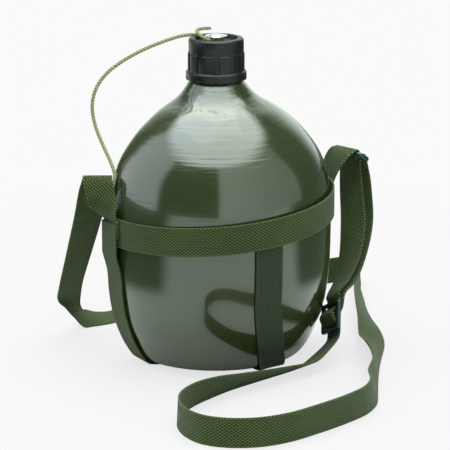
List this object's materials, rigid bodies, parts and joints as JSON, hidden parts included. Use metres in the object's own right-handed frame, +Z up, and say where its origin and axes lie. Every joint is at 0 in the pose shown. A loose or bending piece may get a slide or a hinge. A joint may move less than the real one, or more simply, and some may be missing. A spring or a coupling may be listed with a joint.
{
  "type": "water canteen",
  "caption": "D-shaped green metal water canteen with a black screw cap on a cord, a webbing harness and a long adjustable shoulder strap.",
  "frame": {"origin": "under the neck's axis, on the surface that the canteen stands on", "axes": "+Z up along the neck's axis, -Y out of the rounded front, +X to the side of the strap ring"},
  "size_m": [0.2995, 0.3429, 0.2557],
  "materials": {
    "green_paint": "gloss",
    "black_plastic": "satin",
    "rivet_metal": "polished",
    "seal_rubber": "matte",
    "green_webbing": "woven",
    "green_cord": "twisted"
  },
  "bodies": {
    "canteen": {"bottle": "green_paint", "girth_band": "green_webbing", "front_strap": "green_webbing", "side_strap": "green_webbing", "shoulder_strap": "green_webbing", "short_strap": "green_webbing", "strap_ring": "black_plastic", "strap_slider": "black_plastic", "cap_cord": "green_cord"},
    "lifter": {"cord_loop": "green_cord"},
    "cap": {"cap_shell": "black_plastic", "cap_seal": "seal_rubber", "cap_washer": "rivet_metal", "cap_rivet": "rivet_metal"}
  },
  "joints": [
    {"name": "cap_rise", "type": "slide", "parent": "canteen", "child": "lifter", "axis": [0, 0, 1], "range_m": [0, 0.0121], "deforming": ["cap_cord"]},
    {"name": "cap_turn", "type": "hinge", "parent": "lifter", "child": "cap", "pos_m": [0, 0, 0.23], "axis": [0, 0, 1], "range_deg": [0, 1080]}
  ],
  "couplings": [
    {"joint": "cap_rise", "follows": "cap_turn", "m_per_rad": 0.00063662}
  ]
}
